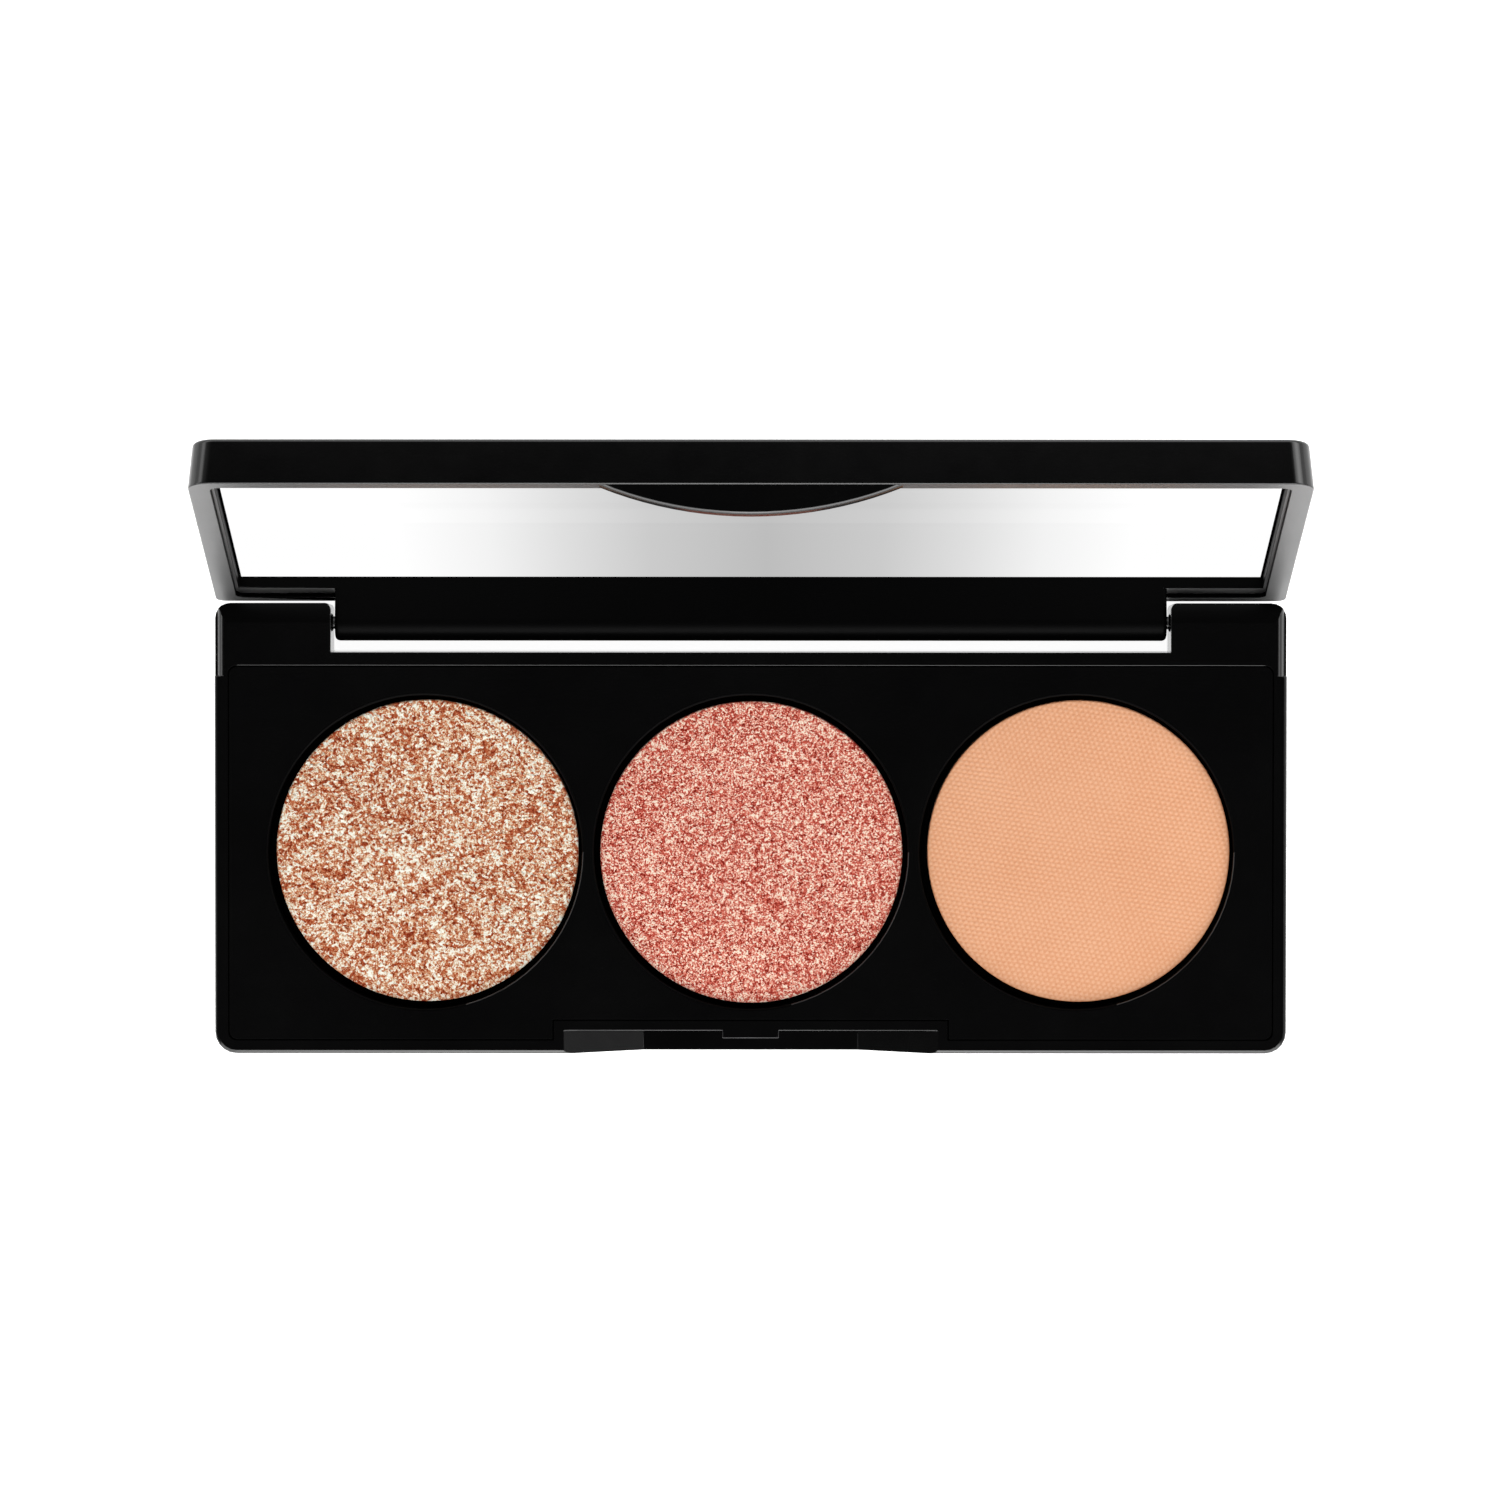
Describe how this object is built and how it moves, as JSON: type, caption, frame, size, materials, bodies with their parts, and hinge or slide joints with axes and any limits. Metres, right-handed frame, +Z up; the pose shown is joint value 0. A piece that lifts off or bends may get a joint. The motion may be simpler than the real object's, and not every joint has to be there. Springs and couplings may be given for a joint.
{
  "type": "eyeshadow palette",
  "caption": "Slim hinged makeup compact: round pressed-powder pans in a tray, and a mirrored lid with a curved thumb tab.",
  "frame": {"origin": "centre of the base's footprint, hinge ears included, on its flat underside", "axes": "+X along the hinge, to the right for the user; +Y to the rear, where the hinge is; +Z up, out of the pans"},
  "size_m": [0.0924, 0.0527, 0.0396],
  "materials": {
    "black_plastic": "smooth semi-gloss moulded black plastic",
    "silvered_mirror": "polished silvered acrylic",
    "foam_tape": "white double-sided foam tape",
    "pin_steel": "drawn steel wire",
    "tinplate": "bright pressed tinplate",
    "glue": "set hot-melt glue",
    "label_paper": "plain matt film label",
    "champagne_glitter": "coarse foiled champagne glitter pressed powder",
    "rose_shimmer": "fine rose shimmer pressed powder",
    "peach_matte": "matte peach pressed powder with a fine cloth emboss"
  },
  "bodies": {
    "base": {"base_shell": "black_plastic", "pan_tray": "black_plastic", "base_label": "label_paper", "hinge_pin_left": "pin_steel", "hinge_pin_right": "pin_steel", "pan_left": "tinplate", "pan_middle": "tinplate", "pan_right": "tinplate", "pan_glue_left": "glue", "pan_glue_middle": "glue", "pan_glue_right": "glue", "powder_left": "champagne_glitter", "powder_middle": "rose_shimmer", "powder_right": "peach_matte"},
    "lid": {"lid_shell": "black_plastic", "mirror": "silvered_mirror", "mirror_tape": "foam_tape"}
  },
  "joints": [
    {"name": "lid_hinge", "type": "hinge", "parent": "base", "child": "lid", "pos_m": [0, 0.01765, 0.00405], "axis": [-1, 0, 0], "range_deg": [-105.3, 6]}
  ]
}
